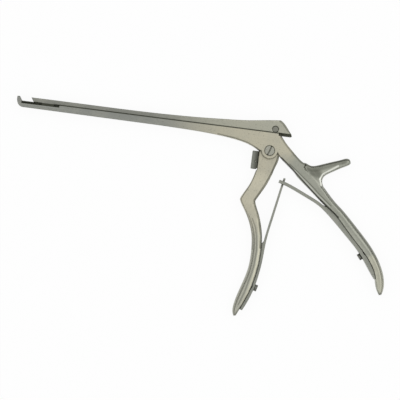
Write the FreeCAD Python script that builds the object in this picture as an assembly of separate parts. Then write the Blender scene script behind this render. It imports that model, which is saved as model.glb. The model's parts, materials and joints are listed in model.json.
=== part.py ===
import FreeCAD, Part
import math
import os

# Kerrison rongeur, a bone punch, in millimetres.
# It lies on its left side. The origin is on the axis of the handle pivot, level with the table.
# +X runs along the shaft from the footplate to the hand, +Y from the handles to the slide, +Z up.

# Overall sizes
shaft_reach = 192.6          # pivot axis to the front of the footplate
shaft_width = 5.5            # distal shaft, side to side
body_width = 10.0            # body, rear of the slide and grips, side to side
seam_height = 13.8           # pivot axis to the sliding plane
slide_rear_reach = 15.2      # pivot axis to the rear corner of the slide
flare_start = 82.0           # pivot axis to where the shaft begins to widen
flare_end = 27.0             # pivot axis to where it is as wide as the body
edge_round = 0.8             # rounding of the long outer edges
round_fullness = 0.5523      # of a quarter that is part of an ellipse

# Jaws
jaw_opening = 9.0            # footplate to cutting edge, at rest
jaw_left_closed = 0.1        # what stays open when the handles are squeezed
jaw_lean = 32.0              # lean of both jaw faces, degrees
footplate_rise = 3.2         # sliding plane to the tip of the footplate
footplate_root = 3.9         # thickness of the footplate at the rail
footplate_tip = 1.6          # thickness of the footplate at its tip
slide_tip_rise = 3.2         # sliding plane to the top of the slide at its cutting edge
slide_rear_rise = 9.7        # sliding plane to the rear top corner of the slide
cup_wall = 0.6               # wall about the hollow behind the cutting edge
cup_round_share = 0.4        # rounding along the hollow, as a share of its height
cup_depth = 4.0

# Guide rail at the front of the shaft, and the lug of the slide that grips it
rail_height = 1.7            # sliding plane down to the shoulders beside the rail
rail_head_width = 3.2
rail_head_height = 0.85
rail_neck_width = 1.6
rail_length = 22.4           # from the footplate to the loading notch
notch_length = 6.0           # gap in the rail where the lug drops in
lug_length = 9.0
lug_lead = 15.2              # cutting edge to the rear of the lug
guide_clearance = 0.1        # between rail and lug, all round
sliding_clearance = 0.08     # between slide and frame

# Pivot, drive pin and tang
pivot_radius = 2.2
pivot_head_radius = 3.6
pivot_head_height = 1.6
head_chamfer = 0.3           # on the heads of the pivot screw and the drive pin
running_clearance = 0.05     # pins in the pieces that turn on them
lobe_radius = 6.1            # round end of the cheeks below the pivot
drive_pin_radius = 1.3
drive_pin_head_radius = 2.2
drive_pin_head_height = 1.0
drive_pin_x = 2.3            # at rest
drive_pin_rise = 2.6         # above the sliding plane
tang_half_width = 3.2
tang_beyond_pin = 2.6        # drive pin to the ends of the fork
fork_side_clearance = 0.3    # each side of the drive pin in the fork of the tang
blade_thickness = 4.0
blade_clearance = 0.1        # each side of the blade in the fork of the body
blade_eye_radius = 7.2       # round of the blade about the pivot
pocket_clearance = 0.4       # about the tang inside the slide
tongue_depth = 1.8           # sliding plane down to the underside of the tongue at the rear of the slide

# Grips
brow_share = 0.07            # width of the steep edge beside the inner wall, as a share of the grip's width

# Relief in the sides of the body under the rear of the slide
relief_depth = 1.6
relief_height = 1.7
relief_front = 5.4           # pivot axis to its front end

# Release catch
catch_front = 12.4           # ahead of the pivot axis
catch_length = 4.3
catch_top = 1.4              # below the pivot axis
catch_height = 13.5
catch_width = 8.0
catch_wall = 1.1             # front wall of the catch
catch_side_clearance = 0.15  # each side of the blade's nose inside the catch
catch_head_height = 2.6      # solid top of the catch
catch_pin_radius = 0.7
catch_pin_ahead = 9.6        # pin axis ahead of the pivot axis
catch_pin_below = 9.2
nose_radius = 1.55           # nose of the blade, about the catch pin
nose_top = 5.0               # pivot axis down to the top of the nose
nose_low = 14.2              # pivot axis down to its lower end
nose_low_set_back = 0.1      # its lower front behind the catch pin
catch_spring_below = 13.0
catch_spring_radius = 0.95   # to the middle of the wire
catch_spring_wire = 0.35
catch_spring_turns = 3
catch_spring_bore_depth = 3.4 # from the front of the nose

# Leaf springs and their screws
rear_leaf_thickness = 2.3
rear_leaf_end_thickness = 0.7
rear_leaf_width = 7.0
front_leaf_thickness = 1.5
front_leaf_end_thickness = 1.2
front_leaf_width = 7.0
leaf_tongue_width = 3.0      # front leaf where it passes through the rear leaf
leaf_tongue_length = 12.0
leaf_window_clearance = 0.35
leaf_window_length = 3.6
leaf_screw_radius = 1.2
leaf_screw_head_radius = 2.5
leaf_screw_head_height = 2.1
leaf_screw_depth = 4.5       # into the handle
screw_slot_width = 0.8
screw_slot_depth = 0.7
seat_clearance = 0.05
leaf_head_clearance = 0.1    # under the head of a leaf screw, where the leaf curves

mid_plane = body_width / 2
tip_x = -shaft_reach


def at(x, y, z=0.0):
    return FreeCAD.Vector(x, y, z)


def around(centre, radius, degrees):
    angle = math.radians(degrees)
    return (centre[0] + radius * math.cos(angle), centre[1] + radius * math.sin(angle))


def line(start, end):
    return Part.LineSegment(at(*start), at(*end)).toShape()


def arc(start, middle, end):
    return Part.Arc(at(*start), at(*middle), at(*end)).toShape()


def middle_line(points):
    spline = Part.BSplineCurve()
    spline.interpolate([at(*p) for p in points])
    return spline


def curve(points):
    return middle_line(points).toShape()


def quarter(start, corner, end, fullness):
    """A quarter of an oval inside a corner. The larger its fullness, the nearer it comes to the corner."""
    bend = Part.BezierCurve()
    bend.setPoles([start, start + (corner - start) * fullness, end + (corner - end) * fullness, end])
    return bend.toShape()


def chain(points):
    return [line(a, b) for a, b in zip(points, points[1:])]


def plate(edges, thickness, middle=mid_plane):
    """A flat piece with this outline, as thick as given, about a plane parallel to the table."""
    face = Part.Face(Part.Wire(Part.__sortEdges__(edges)))
    face.translate(at(0, 0, middle - thickness / 2))
    return face.extrude(at(0, 0, thickness))


def block(x, y, z):
    return Part.makeBox(x[1] - x[0], y[1] - y[0], z[1] - z[0], at(x[0], y[0], z[0]))


def centred(width, middle=mid_plane):
    return (middle - width / 2, middle + width / 2)


def upright_pin(centre, radius, low, high):
    return Part.makeCylinder(radius, high - low, at(centre[0], centre[1], low))


def rounded(shape, radius, is_edge):
    """The shape with the edges rounded that is_edge picks by their middle point and direction."""
    edges = []
    for edge in shape.Edges:
        halfway = (edge.FirstParameter + edge.LastParameter) / 2
        middle = edge.valueAt(halfway)
        way = edge.tangentAt(halfway)
        if is_edge(middle, way):
            edges.append(edge)
    return shape.makeFillet(radius, edges)


def shaft_plan():
    """The shaft and body seen from above the slide: narrow in front, widening to the body."""
    narrow = shaft_width / 2
    wide = body_width / 2
    ahead = tip_x - 5
    behind = 80
    edges = []
    for side in (1, -1):
        edges.append(line((ahead, side * narrow), (-flare_start, side * narrow)))
        edges.append(line((-flare_start, side * narrow), (-flare_end, side * wide)))
        edges.append(line((-flare_end, side * wide), (behind, side * wide)))
    edges.append(line((ahead, narrow), (ahead, -narrow)))
    edges.append(line((behind, wide), (behind, -wide)))
    face = Part.Face(Part.Wire(Part.__sortEdges__(edges)))
    face.rotate(at(0, 0), at(1, 0), 90)
    face.translate(at(0, -60, mid_plane))
    return face.extrude(at(0, 100, 0))


# Places that several pieces share
lean = math.tan(math.radians(jaw_lean))
slide_bottom = seam_height + sliding_clearance
slide_tip_height = seam_height + slide_tip_rise
footplate_height = seam_height + footplate_rise
rail_base = seam_height - rail_height
drive_pin_y = seam_height + drive_pin_rise
tang_radius = math.hypot(drive_pin_x, drive_pin_y) + tang_beyond_pin
tongue_bottom = seam_height - tongue_depth
relief_bottom = seam_height - relief_height
jaw_root_x = tip_x + footplate_root
footplate_face_top_x = jaw_root_x - (footplate_height - seam_height) * lean
cutting_root_x = jaw_root_x + jaw_opening
cutting_top_x = cutting_root_x - (slide_tip_height - seam_height) * lean
rail_end_x = jaw_root_x + rail_length
shoulder_end_x = rail_end_x + notch_length
lug_rear_x = cutting_root_x + lug_lead
lug_front_x = lug_rear_x - lug_length
slide_travel = jaw_opening - jaw_left_closed
rest_angle = math.degrees(math.atan2(drive_pin_x, drive_pin_y))
squeezed_angle = math.degrees(math.atan2(drive_pin_x - slide_travel, drive_pin_y))
pivot = (0.0, 0.0)
drive_pin = (drive_pin_x, drive_pin_y)
catch_pin = (-catch_pin_ahead, -catch_pin_below)
seam_rear = (7.4, seam_height)       # where the seam meets the rear edge of the body
body_rear_top = (7.4, relief_bottom)
body_end_inner = (22.5, -15.5)       # where the cheeks end on the rear handle
body_end_outer = (28.5, -6.6)
blade_end_rear = (4.55, -16.5)       # where the flat blade ends and the front grip swells
blade_end_front = (-8.35, -16.5)
blade_shoulder = (7.6, -2.3)


def on_tang(radius, sideways, degrees=rest_angle):
    """A point of the tang by its distance from the pivot and from the tang's middle line."""
    angle = math.radians(degrees)
    x = radius * math.sin(angle) + sideways * math.cos(angle)
    y = radius * math.cos(angle) - sideways * math.sin(angle)
    return (x, y)


def tang_side_at(height, side, degrees):
    """Where a side of the tang crosses a given height, with the tang at a given angle."""
    angle = math.radians(degrees)
    return height * math.tan(angle) + side * tang_half_width / math.cos(angle)


def body_blank():
    """Shaft, body and cheeks, before the guide and the fork are cut."""
    notch = around(pivot, lobe_radius, 186)
    lobe_end = around(pivot, lobe_radius, -7)
    foot_tip = (footplate_face_top_x - footplate_tip, footplate_height - 0.2)
    foot_heel = (tip_x + 4.6, 9.1)
    straight_end = (-flare_start, 8.5)
    underside = [straight_end, (-53, 7.75), (-38, 6.75), (-26, 5.3), (-17.0, 3.3), (-8.4, -0.6)]
    edges = [
        line((footplate_face_top_x, footplate_height), foot_tip),
        curve([foot_tip, (tip_x + 0.55, 12.8), (tip_x + 1.9, 10.4), foot_heel]),
        line(foot_heel, straight_end),
        curve(underside),
        line(underside[-1], notch),
        arc(notch, around(pivot, lobe_radius, 270), lobe_end),
        curve([lobe_end, (9.3, -4.4), (13.0, -7.6), body_end_inner]),
        line(body_end_inner, body_end_outer),
        line(seam_rear, body_rear_top),
        curve([body_rear_top, (8.7, 10.4), (13.6, 5.0), (19.3, -0.3), (25.0, -5.0), body_end_outer]),
        line(seam_rear, (jaw_root_x, seam_height)),
        line((jaw_root_x, seam_height), (footplate_face_top_x, footplate_height)),
    ]
    blank = plate(edges, body_width).common(shaft_plan())

    def outer_edge(middle, way):
        along_seam = abs(middle.y - seam_height) < 0.01
        between_faces = abs(way.z) > 0.9 or abs(way.y) > 0.98
        at_handle = 22.6 < middle.x < 28.4 and middle.y < -6.7
        at_lobe = abs(middle.x) < 8 and middle.y < 0
        ahead = middle.x < tip_x + 6
        return not (along_seam or between_faces or at_handle or at_lobe or ahead)

    return rounded(blank, edge_round, outer_edge)


def grip_section(inner, outer, thickness, wall, brow, ridge):
    """Section of a grip: upright inner wall, steep edge, gentle facet up to the ridge, round outer side.

    wall and brow are shares of half the thickness, and ridge is a share of the width.
    """
    across = at(*outer) - at(*inner)
    half = thickness / 2

    def place(share, height):
        return at(*inner, mid_plane + half * height) + across * share

    corners = [place(ridge, -1), place(brow_share, -brow), place(0, -wall)]
    corners += [place(0, wall), place(brow_share, brow), place(ridge, 1)]
    edges = [Part.LineSegment(a, b).toShape() for a, b in zip(corners, corners[1:])]
    outermost = place(1, 0)
    edges.append(quarter(place(ridge, 1), place(1, 1), outermost, round_fullness))
    edges.append(quarter(outermost, place(1, -1), place(ridge, -1), round_fullness))
    return Part.Wire(edges)


def oval_section(top, bottom, thickness, fullness):
    """Section of the spur: an oval, squarer as fullness grows."""
    centre = (at(*top) + at(*bottom)) * 0.5 + at(0, 0, mid_plane)
    across = (at(*bottom) - at(*top)) * 0.5
    up = at(0, 0, thickness / 2)
    ways = [across, up, across * -1, up * -1, across]
    edges = []
    for a, b in zip(ways, ways[1:]):
        edges.append(quarter(centre + a, centre + a + b, centre + b, fullness))
    return Part.Wire(edges)


def rear_handle():
    """Inner point, outer point, thickness, wall, brow and ridge of each section.

    The upper sections are thicker than the body, and are trimmed level with it.
    """
    stations = [
        ((20.6, -13.1), (26.0, -6.4), 10.5, 0.90, 0.995, 0.80),
        ((31.0, -22.9), (37.2, -15.6), 10.5, 0.88, 0.995, 0.62),
        ((40.0, -30.3), (45.7, -23.6), 10.4, 0.85, 0.99, 0.52),
        ((48.7, -36.9), (54.1, -32.1), 10.2, 0.80, 0.96, 0.46),
        ((57.0, -43.4), (61.9, -38.7), 10.0, 0.75, 0.93, 0.44),
        ((65.9, -53.0), (71.3, -47.8), 10.0, 0.70, 0.90, 0.44),
        ((79.5, -66.7), (84.9, -62.0), 10.0, 0.66, 0.88, 0.44),
        ((86.2, -75.2), (91.7, -71.4), 9.8, 0.62, 0.87, 0.44),
        ((89.8, -82.2), (95.5, -78.8), 9.2, 0.60, 0.86, 0.45),
        ((91.5, -89.0), (97.7, -86.3), 8.0, 0.60, 0.86, 0.46),
        ((93.6, -94.4), (97.9, -92.8), 6.2, 0.60, 0.86, 0.46),
        ((95.2, -96.9), (97.1, -96.2), 3.2, 0.60, 0.86, 0.46),
    ]
    return Part.makeLoft([grip_section(*station) for station in stations], True, False)


def spur():
    """Top point, bottom point, thickness and fullness of each section."""
    stations = [
        ((26.0, -7.6), (42.6, -25.0), 9.0, 0.90),
        ((30.6, -6.7), (43.0, -20.4), 9.0, 0.90),
        ((35.4, -6.9), (42.1, -17.0), 8.8, 0.86),
        ((38.8, -5.7), (43.0, -14.2), 8.5, 0.82),
        ((43.5, -3.9), (46.8, -11.1), 7.8, 0.78),
        ((49.5, -1.7), (52.0, -7.9), 7.0, 0.74),
        ((55.0, 0.4), (57.0, -5.1), 6.4, 0.71),
        ((58.5, 1.6), (60.4, -3.2), 6.1, 0.70),
        ((59.9, 1.4), (61.4, -2.2), 5.0, 0.66),
        ((60.9, 0.5), (61.5, -0.9), 2.6, round_fullness),
    ]
    return Part.makeLoft([oval_section(*station) for station in stations], True, False)


def guide_cut():
    """Opens the top of the shaft beside and behind the rail, with a round rear corner."""
    corner = 1.2
    above = seam_height + 1
    floor_end = shoulder_end_x - corner
    centre = (floor_end, rail_base + corner)
    edges = [
        line((jaw_root_x, above), (jaw_root_x, rail_base)),
        line((jaw_root_x, rail_base), (floor_end, rail_base)),
        arc((floor_end, rail_base), around(centre, corner, -45), (shoulder_end_x, rail_base + corner)),
        line((shoulder_end_x, rail_base + corner), (shoulder_end_x, above)),
        line((shoulder_end_x, above), (jaw_root_x, above)),
    ]
    return plate(edges, body_width)


def rail():
    """The rail. Its head ends at the notch, where the lug drops over the neck."""
    neck_height = (rail_base - 0.5, seam_height)
    neck = block((jaw_root_x - 1, shoulder_end_x + 1), neck_height, centred(rail_neck_width))
    head_height = (seam_height - rail_head_height, seam_height)
    head = block((jaw_root_x - 1, rail_end_x), head_height, centred(rail_head_width))
    return neck.fuse(head)


def relief():
    """Lowers both sides of the body under the rear of the slide."""
    reach = (relief_front, seam_rear[0] + 1)
    height = (relief_bottom, seam_height + 1)
    near = block(reach, height, (-1, relief_depth))
    far = block(reach, height, (body_width - relief_depth, body_width + 1))
    return near.fuse(far)


def fork_slot():
    """The slot between the cheeks, as wide as the tang and the shoulder of the blade swing in it."""
    wall = 0.4
    above = seam_height + 1
    front_top = tang_side_at(above, -1, squeezed_angle) - wall
    rear_top = tang_side_at(seam_height, 1, rest_angle) + wall
    front = -blade_eye_radius - 3 * wall
    tongue_floor = tongue_bottom - wall
    edges = chain([(20, tongue_floor), (20, above), (front_top, above), (front, 0.5), (front, -9)])
    edges += chain([(front, -9), (11.6, -9), (11.4, -1)])
    edges.append(curve([(11.4, -1), (10.0, 2.2), (7.6, 5.0), (rear_top, 8.6)]))
    edges += chain([(rear_top, 8.6), (rear_top, tongue_floor), (20, tongue_floor)])
    return plate(edges, blade_thickness + 2 * blade_clearance)


def leaf_normal(spline, place, side):
    """The point of a leaf's middle line next to a place, and the way across the leaf there."""
    parameter = spline.parameter(at(*place))
    way = spline.tangent(parameter)[0]
    return spline.value(parameter), at(-way.y, way.x) * side


def leaf(spline, thickness, end_thickness, width):
    """A strip along its middle line, of even thickness up to its screw and thinner from there to its end."""
    steps = 12
    taper_start = 0.84
    sides = {1: [], -1: []}
    for step in range(steps + 1):
        share = step / steps
        parameter = spline.FirstParameter + (spline.LastParameter - spline.FirstParameter) * share
        place = spline.value(parameter)
        way = spline.tangent(parameter)[0]
        thinned = max(0, share - taper_start) / (1 - taper_start)
        half = (thickness + (end_thickness - thickness) * thinned ** 2) / 2
        for side in sides:
            sides[side].append((place.x - side * way.y * half, place.y + side * way.x * half))
    ends = [line(sides[1][end], sides[-1][end]) for end in (0, -1)]
    return plate([curve(sides[1]), curve(sides[-1])] + ends, width)


rear_leaf_line = middle_line([(10.1, -21.7), (22.9, -26.1), (31.2, -29.8), (41.7, -34.7), (50.7, -41.4),
                              (57.3, -47.3), (66.4, -55.8), (78.2, -67.8), (84.2, -76.0), (88.5, -82.7),
                              (90.3, -85.3)])
front_leaf_line = middle_line([(14.0, -19.0), (12.2, -28.0), (8.2, -50.1), (6.0, -62.5), (4.9, -73.0),
                               (4.3, -83.0), (3.2, -91.5), (1.3, -101.5), (-2.4, -113.0), (-5.9, -120.8)])
rear_screw_place, rear_screw_way = leaf_normal(rear_leaf_line, (79.0, -68.9), -1)
front_screw_place, front_screw_way = leaf_normal(front_leaf_line, (0.95, -102.8), 1)
leaf_crossing = (13.3, -22.7)


def leaf_screw(place, way, thickness):
    """A cheese head screw with its head on the leaf, and its shank in the handle."""
    seat = place + at(0, 0, mid_plane) + way * (thickness / 2 + leaf_head_clearance)
    into = leaf_screw_depth + thickness + leaf_head_clearance
    shank = Part.makeCylinder(leaf_screw_radius, into, seat - way * into, way)
    head = Part.makeCylinder(leaf_screw_head_radius, leaf_screw_head_height, seat, way)
    reach = 2 * leaf_screw_head_radius
    slot = Part.makeBox(reach, screw_slot_width, screw_slot_depth)
    slot.translate(at(-reach / 2, -screw_slot_width / 2, 0))
    slot.Placement = FreeCAD.Placement(seat + way * (leaf_screw_head_height - screw_slot_depth),
                                       FreeCAD.Rotation(at(0, 0, 1), way)).multiply(slot.Placement)
    return shank.fuse(head).removeSplitter().cut(slot)


def leaf_screw_hole(place, way, thickness):
    deep = leaf_screw_depth + thickness + 0.4
    start = place + at(0, 0, mid_plane) + way * (thickness / 2 + 1)
    return Part.makeCylinder(leaf_screw_radius + seat_clearance, deep + 1, start, way * -1)


def main_frame():
    """One forging: footplate, shaft with its rail, forked body, rear handle and spur."""
    beyond = body_width + 1
    frame = body_blank().cut(guide_cut()).fuse(rail())
    frame = frame.cut(relief())
    handle = rear_handle().common(block((0, 120), (-120, 20), (0, body_width)))
    frame = frame.fuse(handle).fuse(spur())
    frame = frame.cut(fork_slot())
    frame = frame.cut(upright_pin(pivot, pivot_radius + seat_clearance, -1, beyond))
    frame = frame.cut(head_recess(pivot, pivot_head_radius, pivot_head_height))
    frame = frame.cut(leaf_screw_hole(rear_screw_place, rear_screw_way, rear_leaf_thickness))
    return frame


def head_recess(place, radius, height):
    """Counterbore for a head that ends flush with the upper side, with a chamfered mouth."""
    low = body_width - height
    bore = upright_pin(place, radius + seat_clearance, low, body_width + 1)
    mouth = Part.makeCone(radius + seat_clearance, radius + seat_clearance + head_chamfer, head_chamfer,
                          at(*place, body_width - head_chamfer))
    return bore.fuse(mouth)


def flush_head(place, radius, height):
    """Head that ends flush with the upper side, with its edge chamfered."""
    low = body_width - height + seat_clearance
    head = upright_pin(place, radius, low, body_width)
    rim = [edge for edge in head.Edges if edge.BoundBox.ZMin > body_width - 0.01]
    return head.makeChamfer(head_chamfer, rim)


def upper_slide():
    """A bar with a hollow cutting edge, a lug that grips the rail and a rear that hides the tang."""
    rear_low = (slide_rear_reach - 0.4, slide_bottom)
    rear_high = (5.6, seam_height + slide_rear_rise)
    rises = [(-0.727, 0.005), (-0.504, 0.015), (-0.376, 0.09), (-0.283, 0.19), (-0.187, 0.35)]
    rises += [(-0.096, 0.545), (-0.034, 0.79)]
    top = [(cutting_top_x, slide_tip_height)]
    for reach, share in rises:
        rise = slide_tip_rise + (slide_rear_rise - slide_tip_rise) * share
        top.append((shaft_reach * reach, seam_height + rise))
    top.append(rear_high)
    edges = [
        curve(top),
        curve([rear_high, (7.6, rear_high[1] - 1.3), (12.3, seam_height + 3.1), rear_low]),
        line(rear_low, (cutting_root_x - sliding_clearance * lean, slide_bottom)),
        line((cutting_root_x - sliding_clearance * lean, slide_bottom), (cutting_top_x, slide_tip_height)),
    ]
    slide = plate(edges, body_width).common(shaft_plan())

    def top_edge(middle, way):
        between_faces = abs(way.z) > 0.9 or abs(way.y) > 0.98
        return middle.y > slide_bottom + 0.1 and not between_faces and middle.x > cutting_root_x

    slide = rounded(slide, edge_round, top_edge)
    tongue_rear = slide_rear_reach + 0.1
    tongue_top = slide_bottom + 0.5
    tongue_corner = 0.6
    ahead = slide_travel + pocket_clearance
    top_front = (tang_side_at(tongue_top, 1, squeezed_angle) + ahead, tongue_top)
    low_front = (tang_side_at(tongue_bottom, 1, squeezed_angle) + ahead, tongue_bottom)
    tongue = [top_front, low_front, (tongue_rear - tongue_corner, tongue_bottom)]
    tongue += [(tongue_rear, tongue_bottom + tongue_corner), (slide_rear_reach - 0.7, tongue_top), top_front]
    slide = slide.fuse(plate(chain(tongue), blade_thickness))
    lug_bottom = rail_base + guide_clearance
    lug = block((lug_front_x, lug_rear_x), (lug_bottom, slide_bottom + 0.5), centred(shaft_width))
    through = (lug_front_x - 1, lug_rear_x + 1)
    neck_gap = centred(rail_neck_width + 2 * guide_clearance)
    lug = lug.cut(block(through, (lug_bottom - 1, slide_bottom), neck_gap))
    head_low = seam_height - rail_head_height - guide_clearance
    head_gap = centred(rail_head_width + 2 * guide_clearance)
    lug = lug.cut(block(through, (head_low, slide_bottom), head_gap))
    slide = slide.fuse(lug)
    slide = slide.cut(cutting_cup())
    slide = slide.cut(tang_pocket())
    slide = slide.cut(upright_pin(drive_pin, drive_pin_radius + seat_clearance, -1, body_width + 1))
    return slide.cut(head_recess(drive_pin, drive_pin_head_radius, drive_pin_head_height))


def cutting_cup():
    """The hollow that holds the bitten bone, open to the front."""
    low = slide_bottom + cup_wall
    high = slide_tip_height - cup_wall
    rear = cutting_top_x + (slide_tip_height - low) * lean + cup_depth
    hollow = block((cutting_top_x - 3, rear), (low, high), centred(shaft_width - 2 * cup_wall))
    return rounded(hollow, cup_round_share * (high - low), lambda middle, way: abs(way.x) > 0.9)


def tang_pocket():
    """The blind pocket under the rear of the slide in which the tang swings."""
    sides = []
    for degrees, pin_x in ((rest_angle, drive_pin_x), (squeezed_angle, drive_pin_x - slide_travel)):
        for side in (1, -1):
            sides.append(tang_side_at(slide_bottom, side, degrees) - pin_x)
            sides.append(on_tang(tang_radius, side * tang_half_width, degrees)[0] - pin_x)
    front = drive_pin_x + min(sides) - pocket_clearance
    rear = drive_pin_x + max(sides) + pocket_clearance
    top = math.hypot(tang_radius, tang_half_width) + pocket_clearance
    return block((front, rear), (slide_bottom - 1, top), centred(blade_thickness + 2 * blade_clearance))


def blade():
    """The flat top of the front handle: the forked tang, the eye about the pivot and the catch's nose."""
    prong = (tang_half_width - drive_pin_radius - fork_side_clearance) / 2
    gap = drive_pin_radius + fork_side_clearance
    prong_base = tang_radius - prong
    foot = math.sqrt(blade_eye_radius ** 2 - tang_half_width ** 2)
    front = -blade_eye_radius
    nose_front = catch_pin[0] - nose_radius
    nose_back = catch_pin[0] + nose_low_set_back - 0.2
    nose_turn = catch_pin[1] - nose_radius
    edges = [
        line(on_tang(foot, tang_half_width), on_tang(prong_base, tang_half_width)),
        arc(on_tang(prong_base, tang_half_width), on_tang(tang_radius, tang_half_width - prong),
            on_tang(prong_base, gap)),
        line(on_tang(prong_base, gap), on_tang(drive_pin_y, gap)),
        arc(on_tang(drive_pin_y, gap), on_tang(drive_pin_y - gap, 0), on_tang(drive_pin_y, -gap)),
        line(on_tang(drive_pin_y, -gap), on_tang(prong_base, -gap)),
        arc(on_tang(prong_base, -gap), on_tang(tang_radius, prong - tang_half_width),
            on_tang(prong_base, -tang_half_width)),
        line(on_tang(prong_base, -tang_half_width), on_tang(foot, -tang_half_width)),
        arc(on_tang(foot, -tang_half_width), around(pivot, blade_eye_radius, 150), (front, 0)),
    ]
    edges += chain([(front, 0), (front, -nose_top + 0.3), (front - 0.8, -nose_top), (nose_front, -nose_top)])
    edges.append(line((nose_front, -nose_top), (nose_front, catch_pin[1])))
    nose_round = around(catch_pin, nose_radius, 225)
    edges.append(arc((nose_front, catch_pin[1]), nose_round, (catch_pin[0], nose_turn)))
    edges += chain([(catch_pin[0], nose_turn), (nose_back, nose_turn), (nose_back, -nose_low)])
    edges.append(line((nose_back, -nose_low), (front, -nose_low)))
    edges.append(curve([(front, -nose_low), (-7.6, -15.2), blade_end_front]))
    edges.append(line(blade_end_front, blade_end_rear))
    edges.append(curve([blade_end_rear, (6.6, -9.8), (7.75, -5.2), blade_shoulder]))
    edges.append(line(blade_shoulder, around(pivot, blade_eye_radius, 5)))
    edges.append(arc(around(pivot, blade_eye_radius, 5), around(pivot, blade_eye_radius, 30),
                     on_tang(foot, tang_half_width)))
    return plate(edges, blade_thickness)


def front_grip():
    """Two runs of sections that meet in the sharp swell for the finger.

    Each holds inner point, outer point, thickness, wall, brow and ridge.
    """
    swell = ((-5.8, -38.6), (-17.4, -38.5), 8.5, 0.80, 0.98, 0.91)
    above = [
        (blade_end_rear, blade_end_front, blade_thickness, 0.94, 0.99, 0.96),
        ((3.1, -20.5), (-9.4, -20.5), 4.6, 0.90, 0.99, 0.95),
        ((0.3, -27.2), (-11.8, -27.2), 6.2, 0.84, 0.985, 0.93),
        ((-2.8, -33.0), (-14.9, -33.0), 7.5, 0.82, 0.98, 0.92),
        swell,
    ]
    below = [
        swell,
        ((-5.0, -41.4), (-16.1, -41.5), 8.9, 0.80, 0.98, 0.90),
        ((-2.4, -47.2), (-12.4, -47.3), 9.3, 0.78, 0.96, 0.78),
        ((0.3, -54.5), (-8.4, -54.9), 9.6, 0.74, 0.93, 0.60),
        ((2.4, -63.5), (-5.5, -63.5), 9.9, 0.70, 0.90, 0.50),
        ((3.3, -75.0), (-4.1, -75.0), 9.9, 0.66, 0.87, 0.44),
        ((2.6, -87.0), (-4.6, -88.3), 9.9, 0.64, 0.86, 0.42),
        ((0.2, -100.5), (-8.1, -102.3), 9.8, 0.62, 0.86, 0.42),
        ((-4.2, -113.6), (-11.8, -115.7), 9.0, 0.60, 0.86, 0.42),
        ((-7.6, -121.6), (-12.3, -122.6), 7.0, 0.60, 0.86, 0.44),
        ((-9.4, -125.6), (-11.2, -125.9), 3.2, 0.60, 0.86, 0.46),
    ]
    upper = Part.makeLoft([grip_section(*station) for station in above], True, False)
    lower = Part.makeLoft([grip_section(*station) for station in below], True, False)
    return upper.fuse(lower)


def catch_spring_ends():
    """Bottom of the bore in the nose of the blade, and the inside of the catch's front wall."""
    return catch_pin[0] + catch_spring_bore_depth, -catch_front + catch_wall


def front_handle():
    handle = blade().fuse(front_grip())
    bore_end = catch_spring_ends()[0]
    bore_start = at(-catch_front, -catch_spring_below, mid_plane)
    bore = Part.makeCylinder(catch_spring_radius + 0.35, bore_end + catch_front, bore_start, at(1, 0, 0))
    handle = handle.cut(bore)
    handle = handle.cut(upright_pin(pivot, pivot_radius + running_clearance, -1, body_width + 1))
    handle = handle.cut(upright_pin(catch_pin, catch_pin_radius + running_clearance, -1, body_width + 1))
    return handle.cut(leaf_screw_hole(front_screw_place, front_screw_way, front_leaf_thickness))


def pivot_screw():
    head_low = body_width - pivot_head_height + seat_clearance
    screw = upright_pin(pivot, pivot_radius, 0, head_low)
    screw = screw.fuse(flush_head(pivot, pivot_head_radius, pivot_head_height)).removeSplitter()
    slot = block((-body_width, body_width), (-screw_slot_width / 2, screw_slot_width / 2),
                 (body_width - screw_slot_depth, body_width + 1))
    slot.rotate(at(0, 0), at(0, 0, 1), 70)
    return screw.cut(slot)


def drive_pin_piece():
    head_low = body_width - drive_pin_head_height + seat_clearance
    pin = upright_pin(drive_pin, drive_pin_radius, seat_clearance, head_low)
    return pin.fuse(flush_head(drive_pin, drive_pin_head_radius, drive_pin_head_height)).removeSplitter()


def release_catch():
    """A channel with a solid top that stops the handle, on a cross pin in the blade's nose."""
    rear = -catch_front + catch_length
    low = -catch_top - catch_height
    catch = block((-catch_front, rear), (low, -catch_top), centred(catch_width))

    def outer_edge(middle, way):
        return middle.x < -catch_front + 0.1 or abs(middle.y - low) < 0.1 or abs(middle.y + catch_top) < 0.1

    catch = rounded(catch, 0.5, outer_edge)
    channel = block((-catch_front + catch_wall, rear + 1), (low - 1, -catch_top - catch_head_height),
                    centred(blade_thickness + 2 * catch_side_clearance))
    catch = catch.cut(channel)
    return catch.cut(upright_pin(catch_pin, catch_pin_radius + running_clearance, -1, body_width + 1))


def catch_pin_piece():
    low, high = centred(catch_width)
    return upright_pin(catch_pin, catch_pin_radius, low + 0.1, high - 0.1)


def catch_spring():
    """A coil between the bore of the blade and the front wall of the catch."""
    bore_end, wall = catch_spring_ends()
    start = wall + catch_spring_wire / 2 + seat_clearance
    length = bore_end - wall - catch_spring_wire - 2 * seat_clearance
    helix = Part.makeHelix(length / catch_spring_turns, length, catch_spring_radius)
    corners = [around((catch_spring_radius, 0), catch_spring_wire / 2, 90 * step) for step in range(5)]
    section = Part.makePolygon([at(across, 0, along) for across, along in corners])
    coil = Part.Wire(helix).makePipeShell([section], True, True)
    coil.rotate(at(0, 0), at(0, 1, 0), 90)
    coil.translate(at(start, -catch_spring_below, mid_plane))
    return coil


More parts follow.
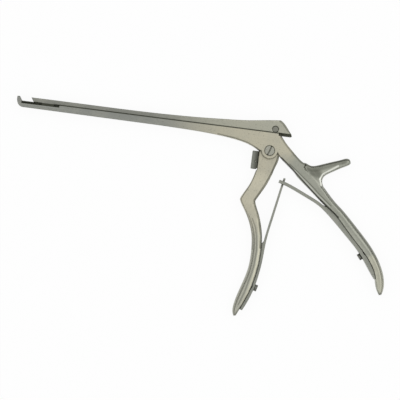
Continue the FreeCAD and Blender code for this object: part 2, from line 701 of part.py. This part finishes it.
def rear_leaf_spring():
    """The strip on the rear handle, with a window at its free end."""
    strip = leaf(rear_leaf_line, rear_leaf_thickness, rear_leaf_end_thickness, rear_leaf_width)
    place, way = leaf_normal(rear_leaf_line, leaf_crossing, 1)
    window = Part.makeBox(leaf_window_length, 6, leaf_tongue_width + 2 * leaf_window_clearance)
    window.translate(at(-leaf_window_length / 2, -3, -leaf_tongue_width / 2 - leaf_window_clearance))
    angle = math.degrees(math.atan2(way.y, way.x)) - 90
    window.rotate(at(0, 0), at(0, 0, 1), angle)
    window.translate(at(place.x, place.y, mid_plane))
    strip = strip.cut(window)
    return strip.cut(leaf_screw_hole(rear_screw_place, rear_screw_way, rear_leaf_thickness))


def front_leaf_spring():
    """The strip on the front handle, narrowing to a tongue that passes through the rear strip's window."""
    strip = leaf(front_leaf_line, front_leaf_thickness, front_leaf_end_thickness, front_leaf_width)
    wide = front_leaf_width / 2
    thin = leaf_tongue_width / 2
    top = leaf_crossing[1] + 8
    shoulder = leaf_crossing[1] - leaf_tongue_length / 2
    outline = [(-wide, -130), (-wide, -70), (-thin - 0.8, shoulder), (-thin, shoulder + 1.5), (-thin, top)]
    outline += [(thin, top), (thin, shoulder + 1.5), (thin + 0.8, shoulder), (wide, -70), (wide, -130)]
    outline.append(outline[0])
    face = Part.Face(Part.makePolygon([at(-20, y, mid_plane + z) for z, y in outline]))
    strip = strip.common(face.extrude(at(50, 0, 0)))
    return strip.cut(leaf_screw_hole(front_screw_place, front_screw_way, front_leaf_thickness))


pieces = {
    "main_frame": main_frame(),
    "upper_slide": upper_slide(),
    "slide_cross_pin": drive_pin_piece(),
    "front_handle": front_handle(),
    "pivot_screw": pivot_screw(),
    "rear_leaf_spring": rear_leaf_spring(),
    "rear_spring_screw": leaf_screw(rear_screw_place, rear_screw_way, rear_leaf_thickness),
    "front_leaf_spring": front_leaf_spring(),
    "front_spring_screw": leaf_screw(front_screw_place, front_screw_way, front_leaf_thickness),
    "release_catch": release_catch(),
    "catch_pin": catch_pin_piece(),
    "catch_spring": catch_spring(),
}

os.makedirs("parts", exist_ok=True)
for name, shape in pieces.items():
    shape.exportStep(f"parts/{name}.step")
    print(f"{name}: {len(shape.Solids)} solid, {shape.Volume:.1f} mm3, valid {shape.isValid()}")
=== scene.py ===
import bpy
import json
import math
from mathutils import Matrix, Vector

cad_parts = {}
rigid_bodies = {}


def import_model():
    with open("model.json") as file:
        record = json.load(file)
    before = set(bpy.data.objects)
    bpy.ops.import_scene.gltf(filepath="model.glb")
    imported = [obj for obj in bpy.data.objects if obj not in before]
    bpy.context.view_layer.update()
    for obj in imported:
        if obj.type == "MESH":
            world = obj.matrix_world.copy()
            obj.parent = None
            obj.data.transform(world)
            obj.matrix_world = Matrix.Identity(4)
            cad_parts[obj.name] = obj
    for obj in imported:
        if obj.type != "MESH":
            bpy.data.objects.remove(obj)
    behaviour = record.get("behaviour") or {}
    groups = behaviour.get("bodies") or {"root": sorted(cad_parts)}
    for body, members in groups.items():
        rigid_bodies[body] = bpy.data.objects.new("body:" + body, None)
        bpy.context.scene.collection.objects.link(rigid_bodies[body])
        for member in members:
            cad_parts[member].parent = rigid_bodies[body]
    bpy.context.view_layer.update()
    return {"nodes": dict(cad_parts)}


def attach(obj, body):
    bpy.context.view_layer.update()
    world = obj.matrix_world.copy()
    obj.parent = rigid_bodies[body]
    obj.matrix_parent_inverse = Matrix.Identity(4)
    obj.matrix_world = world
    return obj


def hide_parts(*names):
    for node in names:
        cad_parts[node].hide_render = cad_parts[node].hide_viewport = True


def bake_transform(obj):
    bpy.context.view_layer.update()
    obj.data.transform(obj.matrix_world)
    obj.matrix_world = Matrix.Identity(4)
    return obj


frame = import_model()
nodes = frame["nodes"]
midPlane = 0.005  # halfway through the instrument's thickness

meshing = {
    "mergeGap": 2e-6,
    "flatAngle": 0.3,
    "sharpAngle": 32,
    "areaWeight": 80,
}


# Small helpers for modelling

def deselectAll():
    if bpy.context.object and bpy.context.object.mode != "OBJECT":
        bpy.ops.object.mode_set(mode="OBJECT")
    for other in bpy.context.view_layer.objects:
        other.select_set(False)


def makeActive(piece):
    deselectAll()
    piece.hide_set(False)
    piece.select_set(True)
    bpy.context.view_layer.objects.active = piece


def applyModifier(piece, kind, **settings):
    makeActive(piece)
    modifier = piece.modifiers.new(kind.lower(), kind)
    for name, value in settings.items():
        setattr(modifier, name, value)
    bpy.ops.object.modifier_apply(modifier=modifier.name)


def mergedCopy(nodeName, pieceName):
    source = nodes[nodeName]
    piece = source.copy()
    piece.data = source.data.copy()
    piece.name = pieceName
    piece.data.name = pieceName
    piece.parent = None
    bpy.context.scene.collection.objects.link(piece)
    makeActive(piece)
    bpy.ops.object.mode_set(mode="EDIT")
    bpy.ops.mesh.select_all(action="SELECT")
    bpy.ops.mesh.remove_doubles(threshold=meshing["mergeGap"])
    bpy.ops.mesh.dissolve_limited(angle_limit=math.radians(meshing["flatAngle"]))
    bpy.ops.object.mode_set(mode="OBJECT")
    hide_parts(nodeName)
    return piece


def smoothShade(piece):
    makeActive(piece)
    bpy.ops.object.shade_smooth_by_angle(angle=math.radians(meshing["sharpAngle"]))
    applyModifier(piece, "WEIGHTED_NORMAL", keep_sharp=True, weight=meshing["areaWeight"], mode="FACE_AREA")


def pickWhere(piece, isPicked):
    makeActive(piece)
    bpy.ops.object.mode_set(mode="EDIT")
    bpy.ops.mesh.select_mode(type="VERT")
    bpy.ops.mesh.select_all(action="DESELECT")
    bpy.ops.object.mode_set(mode="OBJECT")
    for vertex in piece.data.vertices:
        vertex.select = isPicked(vertex.co)
    bpy.ops.object.mode_set(mode="EDIT")


# Shader expressions. A Wire is a socket, and working with it adds Math nodes

class Wire:
    def __init__(self, paint, socket):
        self.paint = paint
        self.socket = socket

    def beside(self, out):
        return Wire(self.paint, self.socket.node.outputs[out])

    def calc(self, operation, *others):
        return self.paint.node("ShaderNodeMath", {"operation": operation}, dict(enumerate((self,) + others)))

    def turned(self, operation, first):
        return self.paint.node("ShaderNodeMath", {"operation": operation}, {0: first, 1: self})

    def __add__(self, other):
        return self.calc("ADD", other)

    __radd__ = __add__

    def __sub__(self, other):
        return self.calc("SUBTRACT", other)

    def __rsub__(self, other):
        return self.turned("SUBTRACT", other)

    def __mul__(self, other):
        return self.calc("MULTIPLY", other)

    __rmul__ = __mul__

    def __truediv__(self, other):
        return self.calc("DIVIDE", other)

    def __abs__(self):
        return self.calc("ABSOLUTE")

    def ease(self, low, high):
        return self.paint.node("ShaderNodeMapRange", {"interpolation_type": "SMOOTHSTEP"}, {
            "From Min": low, "From Max": high, "Value": self}, "Result")


class Paint:
    def __init__(self, owner, outputKind="ShaderNodeOutputMaterial"):
        self.owner = owner
        self.owner.use_nodes = True
        self.tree = owner.node_tree
        self.tree.nodes.clear()
        self.output = self.tree.nodes.new(outputKind)

    def node(self, kind, settings=None, inputs=None, out=0):
        made = self.tree.nodes.new(kind)
        for name, value in (settings or {}).items():
            setattr(made, name, value)
        for name, value in (inputs or {}).items():
            if isinstance(value, Wire):
                self.tree.links.new(value.socket, made.inputs[name])
            else:
                made.inputs[name].default_value = value
        return Wire(self, made.outputs[out])

    def blendColour(self, share, first, second):
        # a Mix node's colours are its sockets 6 and 7, and its output 2
        return self.node("ShaderNodeMix", {"data_type": "RGBA"}, {0: share, 6: first, 7: second}, 2)

    def finish(self, shader):
        self.tree.links.new(shader.socket, self.output.inputs["Surface"])
        return self.owner


# One within core of the broken line through the points, nothing past rim

def lineMark(placeX, placeY, points, core, rim):
    nearest = None
    for (startX, startY), (endX, endY) in zip(points, points[1:]):
        wayX, wayY = endX - startX, endY - startY
        fromX, fromY = placeX - startX, placeY - startY
        share = (fromX * wayX + fromY * wayY) / (wayX * wayX + wayY * wayY)
        share = share.calc("MAXIMUM", 0.0).calc("MINIMUM", 1.0)
        offX, offY = fromX - share * wayX, fromY - share * wayY
        distance = (offX * offX + offY * offY).calc("SQRT")
        nearest = distance if nearest is None else nearest.calc("MINIMUM", distance)
    return 1.0 - nearest.ease(core, rim)


# Painted shade along the rail: in the seam of shaft and slide, in the guide's slot and on the slide's
# tongue, where shade falls.
# Each pair is where it comes or goes, along the shaft (front, rear) or across it (low, high)

railShade = {
    "seamHeight": 0.01384,
    "seamWidth": (0.00015, 0.00075),
    "seamFront": (-0.168, -0.160),
    "seamRear": (0.0070, 0.0078),
    "guideLow": (0.0117, 0.0121),
    "guideHigh": (0.01385, 0.0140),
    "guideFront": (-0.1889, -0.1886),
    "guideRear": (-0.1604, -0.1600),
    "tongueHigh": (0.0139, 0.0143),
    "tongueSoftness": 0.0006,
    "seamShare": 0.8,
    "slotShare": 0.9,
}


def between(place, rise, fall):
    return place.ease(*rise) * (1.0 - place.ease(*fall))


# Mask of painted shade in the rail's seam, guide slot and tongue
def shadeOnRail(placeX, placeY, tongueFront):
    seam = 1.0 - abs(placeY - railShade["seamHeight"]).ease(*railShade["seamWidth"])
    seam = seam * between(placeX, railShade["seamFront"], railShade["seamRear"])
    guide = between(placeY, railShade["guideLow"], railShade["guideHigh"])
    guide = guide * between(placeX, railShade["guideFront"], railShade["guideRear"])
    tongue = placeX.ease(tongueFront, tongueFront + railShade["tongueSoftness"])
    tongue = tongue * (1.0 - placeY.ease(*railShade["tongueHigh"]))
    slot = guide.calc("MAXIMUM", tongue) * railShade["slotShare"]
    return (seam * railShade["seamShare"]).calc("MAXIMUM", slot)


# Satin steel. A far colour goes over into a near one along the piece, and recesses and edges are darkened
# with painted shade

def makeSteel(name, look):
    paint = Paint(bpy.data.materials.new(name))
    place = paint.node("ShaderNodeTexCoord", out="Object")
    placeX = paint.node("ShaderNodeSeparateXYZ", None, {0: place})
    placeY = placeX.beside("Y")

    grainPlace = paint.node("ShaderNodeMapping", {"vector_type": "TEXTURE"}, {
        "Vector": place,
        "Rotation": (0.0, 0.0, math.radians(look["grainTurn"])),
        "Scale": (look["grainLength"], look["grainWidth"], look["grainWidth"]),
    })
    grain = paint.node("ShaderNodeTexNoise", None, {"Vector": grainPlace, "Scale": 1.0, "Detail": 3.0})
    cloud = paint.node("ShaderNodeTexNoise", None, {
        "Vector": place, "Scale": 1 / look["cloudSize"], "Detail": 3.0, "Roughness": 0.6})
    speck = paint.node("ShaderNodeTexNoise", None, {
        "Vector": place, "Scale": 1 / look["speckSize"], "Detail": 1.0}).ease(*look["speckRange"])
    stray = (cloud - 0.5) * look["toneStray"]

    start, end = look["toneStart"], look["toneEnd"]
    reach = math.hypot(end[0] - start[0], end[1] - start[1])
    wayX, wayY = (end[0] - start[0]) / reach, (end[1] - start[1]) / reach
    along = (placeX - start[0]) * wayX + (placeY - start[1]) * wayY
    colour = paint.blendColour((along + stray).ease(0.0, reach), look["farColour"], look["nearColour"])
    if "rearColour" in look:
        behind = (placeX - placeY + stray).ease(*look["rearRange"])
        colour = paint.blendColour(behind, colour, look["rearColour"])
    colour = paint.blendColour(
        cloud.ease(*look["cloudRange"]) * look["cloudShare"], colour, look["cloudColour"])
    colour = paint.blendColour((grain - look["grainFrom"]) * look["grainShare"], colour, look["grainColour"])
    colour = paint.blendColour(speck * look["speckShare"], colour, look["dirtAndShadeColour"])

    # Painted shade: recesses found by occlusion, and the rail's seam, slot and tongue, take a dark colour
    openness = paint.node(
        "ShaderNodeAmbientOcclusion", {"samples": 8}, {"Distance": look["recessReach"]}, "AO")
    paintedShade = (1.0 - openness.ease(*look["recessRange"])) * look["recessShare"]
    if "tongueFront" in look:
        paintedShade = paintedShade.calc("MAXIMUM", shadeOnRail(placeX, placeY, look["tongueFront"]))
    colour = paint.blendColour(paintedShade, colour, look["dirtAndShadeColour"])

    rough = look["roughness"] + (grain - 0.5) * look["grainRough"] + (cloud - 0.5) * look["cloudRough"]
    rough = rough + paintedShade * look["shadeRough"]
    # Painted shade on edges: where the bevel's normal turns away from the face's, the colour darkens as if
    # the edge reflected the dark horizon
    softEdge = paint.node("ShaderNodeBevel", {"samples": 6}, {"Radius": look["edgeReach"]})
    flatSide = paint.node("ShaderNodeNewGeometry", out="Normal")
    turnedEdge = 1.0 - paint.node(
        "ShaderNodeVectorMath", {"operation": "DOT_PRODUCT"}, {0: softEdge, 1: flatSide}, "Value")
    edgeShadeShare = turnedEdge.ease(0.0, look["edgeTurn"]) * look["edgeShadeShare"]
    colour = paint.blendColour(edgeShadeShare, colour, look["edgeShadeColour"])
    # Painted highlights and painted shade along the listed lines
    for points, core, rim, share, paintedLineColour in look["paintedLines"]:
        paintedLine = lineMark(placeX * 1000, placeY * 1000, points, core, rim) * ((cloud + 0.5) * share)
        colour = paint.blendColour(paintedLine, colour, paintedLineColour)
    bump = paint.node("ShaderNodeBump", None, {
        "Strength": look["bumpStrength"],
        "Distance": look["bumpHeight"],
        "Height": grain + cloud * look["cloudBump"],
        "Normal": softEdge,
    })
    shader = paint.node("ShaderNodeBsdfPrincipled", None, {
        "Base Color": colour, "Roughness": rough, "Metallic": 1.0, "Normal": bump})
    return paint.finish(shader)


steelLook = {
    "farColour": (0.30, 0.31, 0.285, 1.0),
    "nearColour": (0.50, 0.475, 0.37, 1.0),
    "toneStart": (-0.095, 0.0138),
    "toneEnd": (-0.030, 0.0138),
    "toneStray": 0.02,
    "cloudColour": (0.40, 0.40, 0.34, 1.0),
    "cloudShare": 0.35,
    "cloudSize": 0.012,
    "cloudRange": (0.35, 0.7),
    "cloudRough": 0.10,
    "cloudBump": 0.5,
    "grainColour": (0.26, 0.265, 0.23, 1.0),
    "grainShare": 0.55,
    "grainFrom": 0.35,
    "grainTurn": 0.0,
    "grainLength": 0.012,
    "grainWidth": 0.0003,
    "grainRough": 0.16,
    "speckSize": 0.0011,
    "speckShare": 0.25,
    "speckRange": (0.60, 0.74),
    # Colour of dirt specks and of painted shade in recesses and along the rail
    "dirtAndShadeColour": (0.035, 0.037, 0.024, 1.0),
    "shadeRough": 0.15,
    "recessReach": 0.0016,
    "recessShare": 0.85,
    "recessRange": (0.30, 0.85),
    "paintedLines": [],
    "roughness": 0.34,
    "bumpStrength": 0.15,
    "bumpHeight": 0.00002,
    "edgeReach": 0.0011,
    "edgeTurn": 0.10,
    "edgeShadeShare": 0.8,
    # Colour of the painted shade on edges
    "edgeShadeColour": (0.10, 0.105, 0.08, 1.0),
}

# Colours of painted shade and painted highlights
shadeColour = (0.075, 0.078, 0.06, 1.0)
deepShadeColour = (0.02, 0.021, 0.015, 1.0)
highlightColour = (0.72, 0.73, 0.66, 1.0)
warmHighlightColour = (0.60, 0.58, 0.45, 1.0)

# Lines of painted highlight and painted shade along the edges, in millimetres: points, core, rim, share and
# colour
frameLightAndShade = [
    ([(31, -9.8), (37, -9.4), (43.5, -6.3), (50, -3.4), (57, -0.5)], 0.6, 2.9, 0.55, shadeColour),
    ([(34.5, -12.0), (38.5, -13.0)], 1.0, 4.6, 0.55, shadeColour),
    ([(86, -71), (92, -80), (96, -92)], 1.0, 4.5, 0.40, warmHighlightColour),
    ([(-40, 7.6), (-26, 6.0), (-17, 4.0), (-9.5, 0.7), (-7.3, -0.7)], 0.1, 0.8, 0.60, shadeColour),
    ([(6.9, 11.6), (8.1, 9.8), (13.0, 4.4), (18.8, -1.0), (24.5, -5.7), (28.5, -7.5), (33, -7.7),
      (38.8, -6.6), (43.5, -4.7), (49.5, -2.5), (57, 0.2), (59.8, 0.3)], 0.2, 1.0, 0.62, shadeColour),
    ([(44.6, -23.4), (53.4, -32.8), (61.2, -39.4), (70.6, -48.5), (84.2, -62.7), (90.9, -71.9)],
     0.2, 0.9, 0.45, shadeColour),
    ([(52.4, -4.9), (46.4, -9.1), (41.9, -12.5), (40.1, -16.3), (41.9, -21.0)], 0.3, 1.0, 0.85, highlightColour),
    ([(20.5, -12.3), (32.0, -21.8), (40.9, -29.3), (49.6, -36.0)], 0.1, 0.8, 0.45, highlightColour),
    ([(16, -8.0), (24, -13.9), (33.1, -20.9), (42.0, -28.4), (50.8, -35.2)], 0.1, 0.6, 0.60, shadeColour),
    ([(7.2, -3.9), (9.5, -4.3), (13.3, -7.2), (22.8, -15.1), (31.3, -22.5), (40.3, -29.9), (49.0, -36.5),
      (57.3, -43.0)], 0.25, 0.85, 0.80, deepShadeColour),
]
# Painted shade along an edge of the slide
slideShade = [
    ([(5.2, 22.6), (7.4, 21.2), (11.6, 16.5), (14.0, 14.3)], 0.2, 1.0, 0.5, shadeColour),
]
# Painted shade and highlights on the front handle, with painted black in the shadowed gap beside the catch
handleLightAndShade = [
    ([(-6.5, -52), (-3.2, -58), (-1.75, -64), (-0.25, -75), (-0.8, -87), (-3.2, -98), (-5, -107),
      (-8.5, -117)], 0.2, 0.9, 0.35, shadeColour),
    ([(-2.5, -52), (-0.3, -60), (1.0, -68), (1.6, -75), (1.2, -86), (-0.6, -97), (-2.8, -107),
      (-6.2, -117)], 0.3, 1.1, 0.60, warmHighlightColour),
    ([(6.8, -3.5), (6.3, -7), (5.5, -10), (3.7, -16), (2.0, -20.5), (-0.8, -27), (-3.9, -32.9),
      (-6.7, -38.3), (-6.2, -41), (-3.4, -47), (-0.8, -54.5), (1.3, -63.5), (2.2, -73)],
     0.25, 0.95, 0.72, shadeColour),
    ([(-7.9, -16), (-8.8, -20.5), (-11.2, -27.2), (-14.2, -33), (-16.7, -38.5), (-15.4, -41.5),
      (-11.7, -47.3), (-7.8, -54.9), (-4.9, -63.5), (-3.5, -75)], 0.1, 0.65, 0.55, shadeColour),
    ([(-7.7, 0.0), (-7.7, -4.8), (-7.8, -14.6)], 0.35, 0.75, 0.97, deepShadeColour),
]

frameSteel = makeSteel("frameSteel", {
    **steelLook,
    "nearColour": (0.56, 0.53, 0.41, 1.0),
    "rearColour": (0.345, 0.355, 0.30, 1.0),
    "rearRange": (0.008, 0.030),
    "tongueFront": 0.5,  # past the frame, which has no tongue
    "paintedLines": frameLightAndShade,
})
slideSteel = makeSteel("slideSteel", {
    **steelLook,
    "nearColour": (0.455, 0.45, 0.365, 1.0),
    "farColour": (0.265, 0.27, 0.24, 1.0),
    "tongueFront": 0.0066,
    "paintedLines": slideShade,
})
handleSteel = makeSteel("handleSteel", {
    **steelLook,
    "grainTurn": 90.0,
    "toneStart": (0.0, -0.075),
    "toneEnd": (0.0, -0.045),
    "nearColour": (0.55, 0.52, 0.405, 1.0),
    "farColour": (0.40, 0.40, 0.335, 1.0),
    "paintedLines": handleLightAndShade,
})
springSteel = makeSteel("springSteel", {
    **steelLook,
    "grainTurn": -45.0,
    "farColour": (0.30, 0.31, 0.27, 1.0),
    "nearColour": (0.30, 0.31, 0.27, 1.0),
    "roughness": 0.3,
    "edgeReach": 0.0003,
    "recessReach": 0.003,
    "recessRange": (0.5, 1.0),
})
pivotSteel = makeSteel("pivotSteel", {
    **steelLook,
    "grainTurn": 20.0,
    "farColour": (0.40, 0.40, 0.34, 1.0),
    "nearColour": (0.40, 0.40, 0.34, 1.0),
    "recessReach": 0.0009,
    "edgeReach": 0.0006,
})
pinSteel = makeSteel("pinSteel", {
    **steelLook,
    "farColour": (0.22, 0.22, 0.185, 1.0),
    "nearColour": (0.22, 0.22, 0.185, 1.0),
    "cloudColour": (0.26, 0.26, 0.22, 1.0),
    "edgeReach": 0.0008,
})
screwSteel = makeSteel("screwSteel", {
    **steelLook,
    "edgeReach": 0.0004,
    "farColour": (0.16, 0.165, 0.145, 1.0),
    "nearColour": (0.16, 0.165, 0.145, 1.0),
    "cloudColour": (0.20, 0.20, 0.17, 1.0),
})
# The catch darkens towards the blade: painted shade across its rounded side
catchSteel = makeSteel("catchSteel", {
    **steelLook,
    "grainTurn": 90.0,
    "toneStart": (-0.0114, -0.0080),
    "toneEnd": (-0.0086, -0.0080),
    "toneStray": 0.001,
    "farColour": (0.22, 0.23, 0.20, 1.0),
    "nearColour": (0.07, 0.072, 0.06, 1.0),
    "cloudShare": 0.1,
    "edgeReach": 0.0006,
})
print("steel ready")


# The frame: the spur's root runs out softly into the handle

spurRoot = {
    "place": (0.0290, -0.0072),
    "reach": 0.0024,
    "passes": 8,
}


def easeSpurRoot(piece):
    middleX, middleY = spurRoot["place"]
    pickWhere(piece, lambda place: math.hypot(place.x - middleX, place.y - middleY) < spurRoot["reach"])
    bpy.ops.mesh.vertices_smooth(factor=0.5, repeat=spurRoot["passes"], xaxis=True, yaxis=True, zaxis=False)
    bpy.ops.object.mode_set(mode="OBJECT")


# The front handle: the blade's front is drawn forward beside the catch

bladeFront = {
    "behind": -0.0069,
    "low": -0.0048,
    "high": 0.0002,
    "draw": 0.0008,
}


def isBladeFront(place):
    return place.x < bladeFront["behind"] and bladeFront["low"] < place.y < bladeFront["high"]


def drawBladeFront(piece):
    pickWhere(piece, isBladeFront)
    bpy.ops.transform.translate(value=(-bladeFront["draw"], 0, 0))
    bpy.ops.object.mode_set(mode="OBJECT")


# The rigid pieces, each a merged copy of its own solid

reworks = {"main_frame": easeSpurRoot, "front_handle": drawBladeFront}
bodySteels = {
    "main_frame": ("frameForging", "frame", frameSteel, "frame_steel"),
    "upper_slide": ("slideBar", "slide", slideSteel, "slide_steel"),
    "slide_cross_pin": ("slidePin", "slide", pinSteel, "pin_steel"),
    "front_handle": ("frontHandleForging", "handle", handleSteel, "handle_steel"),
    "pivot_screw": ("pivotScrew", "frame", pivotSteel, "pin_steel"),
    "rear_spring_screw": ("rearLeafScrew", "frame", screwSteel, "screw_steel"),
    "front_spring_screw": ("frontLeafScrew", "handle", screwSteel, "screw_steel"),
    "release_catch": ("releaseCatch", "catch", catchSteel, "catch_steel"),
    "catch_pin": ("catchPin", "handle", pinSteel, "pin_steel"),
}
rigid = {}
for nodeName, (pieceName, body, steel, slotName) in bodySteels.items():
    piece = mergedCopy(nodeName, pieceName)
    rigid[nodeName] = piece
    if nodeName in reworks:
        reworks[nodeName](piece)
    smoothShade(piece)
    piece.data.materials.clear()
    piece.data.materials.append(steel)
    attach(piece, body)
print("rigid pieces ready")


# The leaves and the coil, each a merged copy of its own solid, stay in place. Where a leaf lies on a part,
# its facing side is drawn out to it

leafCrossing = (0.0133, -0.0227)
springs = {
    "rear_leaf_spring": ("rearLeaf", "frame", "handle", (0.0450, -0.0380), leafCrossing),
    "front_leaf_spring": ("frontLeaf", "handle", "frame", (0.0050, -0.0720), leafCrossing),
    "catch_spring": ("catchCoil", "handle", "catch", (-0.0062, -0.0130), (-0.00875, -0.0130)),
}
seating = {
    "reach": 0.0018,
    "gap": 0.00006,
    "facing": 0.2,
    "rearFront": 0.046,
    "rearTail": 0.072,
    "frontTop": -0.070,
}
seats = {
    "rear_leaf_spring": ("main_frame", [
        ("middle", (0.69, 0.72), lambda place: seating["rearFront"] < place.x <= seating["rearTail"]),
        ("tail", (0.84, 0.54), lambda place: place.x > seating["rearTail"]),
    ]),
    "front_leaf_spring": ("front_handle", [
        ("tail", (-0.98, 0.20), lambda place: place.y < seating["frontTop"]),
    ]),
}


# The side that faces the target is drawn out until it nearly touches

def restAgainst(piece, target, groupName, way, isHere):
    reach = Vector((way[0], way[1], 0.0)).normalized()
    limit = seating["reach"]
    group = piece.vertex_groups.new(name=groupName)
    for vertex in piece.data.vertices:
        if vertex.normal.dot(reach) < seating["facing"] or not isHere(vertex.co):
            continue
        start = Vector((vertex.co.x, vertex.co.y, midPlane))
        hit, place = target.ray_cast(start, reach, distance=limit)[:2]
        if hit:
            weight = max(0.0, (place - start).length - seating["gap"]) / limit
            group.add([vertex.index], weight, "REPLACE")
    for axis, amount in (("X", reach.x * limit), ("Y", reach.y * limit)):
        applyModifier(
            piece, "DISPLACE", vertex_group=groupName, direction=axis, mid_level=0.0, strength=amount)


for nodeName, (pieceName, held, led, heldAt, halfway) in springs.items():
    piece = mergedCopy(nodeName, pieceName)
    if nodeName in seats:
        bpy.context.view_layer.update()
        target, parts = seats[nodeName]
        for groupName, way, isHere in parts:
            restAgainst(piece, rigid[target], groupName, way, isHere)
    smoothShade(piece)
    piece.data.materials.clear()
    piece.data.materials.append(springSteel)
    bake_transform(piece)
print("springs ready")


# Floor, sky and lamp. The sky is dark at the horizon, brightest halfway up and a little darker overhead

studio = {
    "floorSize": 6.0,
    "floorDrop": 0.0002,
    "floorColour": (0.9, 0.9, 0.9, 1.0),
    "floorGlow": 0.93,
    "skyEdge": 0.12,
    "skyLow": 0.80,
    "skyBand": 1.55,
    "skyOverhead": 0.90,
    "lowHeights": (0.10, 0.45),
    "bandHeights": (0.40, 0.70),
    "overheadHeights": (0.82, 0.97),
    "lampPower": 0.8,
    "lampSize": 0.9,
    "lampPlace": (0.45, 0.25, 0.95),
    "lampAim": (-0.05, -0.04, 0.0),
}

bpy.ops.mesh.primitive_plane_add(size=studio["floorSize"], location=(0, 0, -studio["floorDrop"]))
floor = bpy.context.object
floor.name = "floor"
floorPaint = Paint(bpy.data.materials.new("paleFloor"))
cameraRay = floorPaint.node("ShaderNodeLightPath", out="Is Camera Ray")
seen = cameraRay.calc("MAXIMUM", cameraRay.beside("Is Glossy Ray"))
matt = floorPaint.node("ShaderNodeBsdfDiffuse", None, {"Color": studio["floorColour"]})
glow = floorPaint.node("ShaderNodeEmission", None, {"Color": (1.0, 1.0, 1.0, 1.0), "Strength": 1.0})
floor.data.materials.append(floorPaint.finish(floorPaint.node("ShaderNodeMixShader", None, {
    0: seen * studio["floorGlow"], 1: matt, 2: glow})))

skyPaint = Paint(bpy.data.worlds.new("studio"), "ShaderNodeOutputWorld")
skyWay = skyPaint.node("ShaderNodeTexCoord", out="Generated")
height = skyPaint.node("ShaderNodeSeparateXYZ", None, {0: skyWay}, "Z")
level = studio["skyEdge"] + height.ease(*studio["lowHeights"]) * (studio["skyLow"] - studio["skyEdge"])
level = level + height.ease(*studio["bandHeights"]) * (studio["skyBand"] - studio["skyLow"])
level = level + height.ease(*studio["overheadHeights"]) * (studio["skyOverhead"] - studio["skyBand"])
bpy.context.scene.world = skyPaint.finish(skyPaint.node("ShaderNodeBackground", None, {"Strength": level}))

bpy.ops.object.light_add(type="AREA", location=studio["lampPlace"])
lamp = bpy.context.object
lamp.data.energy = studio["lampPower"]
lamp.data.size = studio["lampSize"]
lamp.rotation_euler = (Vector(studio["lampAim"]) - lamp.location).to_track_quat("-Z", "Y").to_euler()


# The camera looks straight down

view = {
    "middle": (-0.0469, -0.0432),
    "turn": 7.3,
    "height": 1.2,
    "width": 0.3,
}
bpy.ops.object.camera_add(location=(view["middle"][0], view["middle"][1], view["height"]),
                          rotation=(0, 0, math.radians(view["turn"])))
camera = bpy.context.object
camera.data.lens = camera.data.sensor_width * (view["height"] - midPlane) / view["width"]
bpy.context.scene.camera = camera
bpy.context.scene.view_settings.view_transform = "Standard"
print("studio ready")
